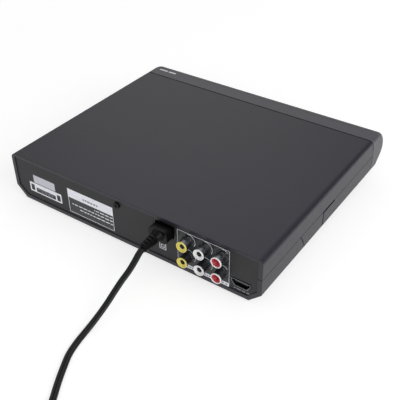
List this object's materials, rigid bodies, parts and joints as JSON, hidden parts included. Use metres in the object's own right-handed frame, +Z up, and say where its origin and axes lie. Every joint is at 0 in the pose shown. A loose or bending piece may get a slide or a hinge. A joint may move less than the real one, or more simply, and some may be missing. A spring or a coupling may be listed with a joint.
{
  "type": "dvd player with tray",
  "caption": "Slim disc player with a motorised tray, a rolled front bezel, phono, digital video and mains sockets at the rear and a plugged-in flat mains lead.",
  "frame": {"origin": "on the floor under the centre of the player's own footprint, which runs from the bezel's nose to the ends of the phono sockets; the mains lead is not counted", "axes": "+Z up; -Y is the front with the tray, so the sockets face +Y; +X is to the right seen from the front"},
  "size_m": [0.3055, 0.3975, 0.0413],
  "materials": {
    "case_plastic": "finely spark-eroded matt black",
    "rear_plastic": "matt black",
    "window_plastic": "polished smoked",
    "foot_rubber": "matt",
    "screw_steel": "black passivated",
    "tray_plastic": "matt black",
    "chassis_plastic": "matt black",
    "white_plastic": "natural white",
    "plated_steel": "zinc plated",
    "socket_black": "black",
    "barrel_metal": "black nickel",
    "yellow_plastic": "yellow",
    "ring_white": "white",
    "red_plastic": "red",
    "shell_metal": "nickel plated",
    "board_laminate": "green solder mask",
    "winding_tape": "yellow tape over a ferrite core",
    "can_sleeve": "sleeved cans",
    "sink_aluminium": "black-edged extrusion",
    "pin_brass": "nickel-plated brass",
    "belt_rubber": "ground rubber",
    "display_glass": "dark glass",
    "lens_glass": "coated lens",
    "cable_vinyl": "soft black",
    "plug_vinyl": "moulded black",
    "ribbon_film": "white film"
  },
  "bodies": {
    "player": {"bottom_case": "case_plastic", "top_cover": "case_plastic", "front_bezel": "case_plastic", "rear_panel": "rear_plastic", "display_window": "window_plastic", "rubber_feet": "foot_rubber", "case_screws": "screw_steel", "loader_chassis": "chassis_plastic", "chassis_screws": "plated_steel", "clamp_bridge": "plated_steel", "loading_motor": "plated_steel", "drive_belt": "belt_rubber", "main_board": "board_laminate", "av_jack_housing": "socket_black", "jack_barrels": "barrel_metal", "jack_rings_yellow": "yellow_plastic", "jack_rings_white": "ring_white", "jack_rings_red": "red_plastic", "hdmi_shell": "shell_metal", "hdmi_tongue": "socket_black", "power_board": "board_laminate", "transformer": "winding_tape", "capacitors": "can_sleeve", "power_heat_sink": "sink_aluminium", "mains_inlet": "socket_black", "inlet_pins": "pin_brass", "front_board": "board_laminate", "digit_display": "display_glass", "usb_shell": "shell_metal", "usb_tongue": "socket_black", "board_screws": "plated_steel", "loader_ribbon": "ribbon_film", "inlet_connector": "plug_vinyl", "power_cord": "cable_vinyl", "cord_coil": "cable_vinyl", "cord_tie": "plug_vinyl", "mains_plug": "plug_vinyl", "plug_pins": "pin_brass"},
    "tray": {"disc_tray": "tray_plastic", "tray_door": "case_plastic"},
    "drive_gear": {"drive_gear": "white_plastic"},
    "pulley_gear": {"pulley_gear": "white_plastic"},
    "motor_pulley": {"motor_pulley": "white_plastic"},
    "deck": {"traverse_deck": "chassis_plastic", "guide_rods": "plated_steel", "spindle_motor": "plated_steel", "sled_motor": "plated_steel"},
    "turntable": {"turntable": "white_plastic"},
    "sled": {"pickup_sled": "sink_aluminium", "pickup_lens": "lens_glass"},
    "sled_gear": {"sled_gear": "white_plastic"},
    "sled_pinion": {"sled_pinion": "white_plastic"},
    "lift_slider": {"lift_slider": "white_plastic"},
    "clamper": {"clamper": "white_plastic", "clamp_plate": "plated_steel"},
    "power_button": {"power_button": "case_plastic"},
    "open_button": {"open_button": "case_plastic"},
    "play_button": {"play_button": "case_plastic"},
    "stop_button": {"stop_button": "case_plastic"}
  },
  "joints": [
    {"name": "tray_slide", "type": "slide", "parent": "player", "child": "tray", "axis": [0, -1, 0], "range_m": [0, 0.13]},
    {"name": "drive_gear_spin", "type": "hinge", "parent": "player", "child": "drive_gear", "pos_m": [0, -0.068, 0.012], "axis": [0, 0, 1], "range_deg": [0, 621]},
    {"name": "pulley_gear_spin", "type": "hinge", "parent": "player", "child": "pulley_gear", "pos_m": [0.0168, -0.068, 0.012], "axis": [0, 0, 1], "range_deg": [-1552, 0]},
    {"name": "motor_pulley_spin", "type": "hinge", "parent": "player", "child": "motor_pulley", "pos_m": [0.05861, -0.06397, 0.012], "axis": [0, 0, 1], "range_deg": [-5380, 0]},
    {"name": "deck_lift", "type": "hinge", "parent": "player", "child": "deck", "pos_m": [0.04, 0.05985, 0.0175], "axis": [-1, 0, 0], "range_deg": [0, 4.6]},
    {"name": "lift_slide", "type": "slide", "parent": "player", "child": "lift_slider", "axis": [-1, 0, 0], "range_m": [0, 0.018]},
    {"name": "turntable_spin", "type": "hinge", "parent": "deck", "child": "turntable", "pos_m": [0.04, -0.03305, 0.01253], "axis": [0, -0.0802, 0.9968], "continuous": true},
    {"name": "sled_slide", "type": "slide", "parent": "deck", "child": "sled", "axis": [0, 0.9968, 0.0802], "range_m": [0, 0.035]},
    {"name": "sled_gear_spin", "type": "hinge", "parent": "deck", "child": "sled_gear", "pos_m": [0.0752, 0.01188, 0.01515], "axis": [0, -0.0802, 0.9968], "range_deg": [-478, 0]},
    {"name": "sled_pinion_spin", "type": "hinge", "parent": "deck", "child": "sled_pinion", "pos_m": [0.0752, 0.02514, 0.01621], "axis": [0, -0.0802, 0.9968], "range_deg": [0, 1337]},
    {"name": "clamper_spin", "type": "hinge", "parent": "player", "child": "clamper", "pos_m": [0.04, -0.03315, 0.03], "axis": [0, 0, 1], "continuous": true},
    {"name": "power_button_press", "type": "slide", "parent": "player", "child": "power_button", "axis": [0, 1, 0], "range_m": [0, 0.0008], "stiffness_N_per_m": 150, "springref_m": -0.001},
    {"name": "open_button_press", "type": "slide", "parent": "player", "child": "open_button", "axis": [0, 1, 0], "range_m": [0, 0.0008], "stiffness_N_per_m": 150, "springref_m": -0.001},
    {"name": "play_button_press", "type": "slide", "parent": "player", "child": "play_button", "axis": [0, 1, 0], "range_m": [0, 0.0008], "stiffness_N_per_m": 150, "springref_m": -0.001},
    {"name": "stop_button_press", "type": "slide", "parent": "player", "child": "stop_button", "axis": [0, 1, 0], "range_m": [0, 0.0008], "stiffness_N_per_m": 150, "springref_m": -0.001}
  ],
  "couplings": [
    {"joint": "drive_gear_spin", "follows": "tray_slide", "rad_per_m": 83.333},
    {"joint": "pulley_gear_spin", "follows": "tray_slide", "rad_per_m": -208.33},
    {"joint": "motor_pulley_spin", "follows": "tray_slide", "rad_per_m": -722.22},
    {"joint": "lift_slide", "follows": "deck_lift", "m_per_rad": 0.2242},
    {"joint": "sled_gear_spin", "follows": "sled_slide", "rad_per_m": -238.1},
    {"joint": "sled_pinion_spin", "follows": "sled_slide", "rad_per_m": 666.67}
  ]
}
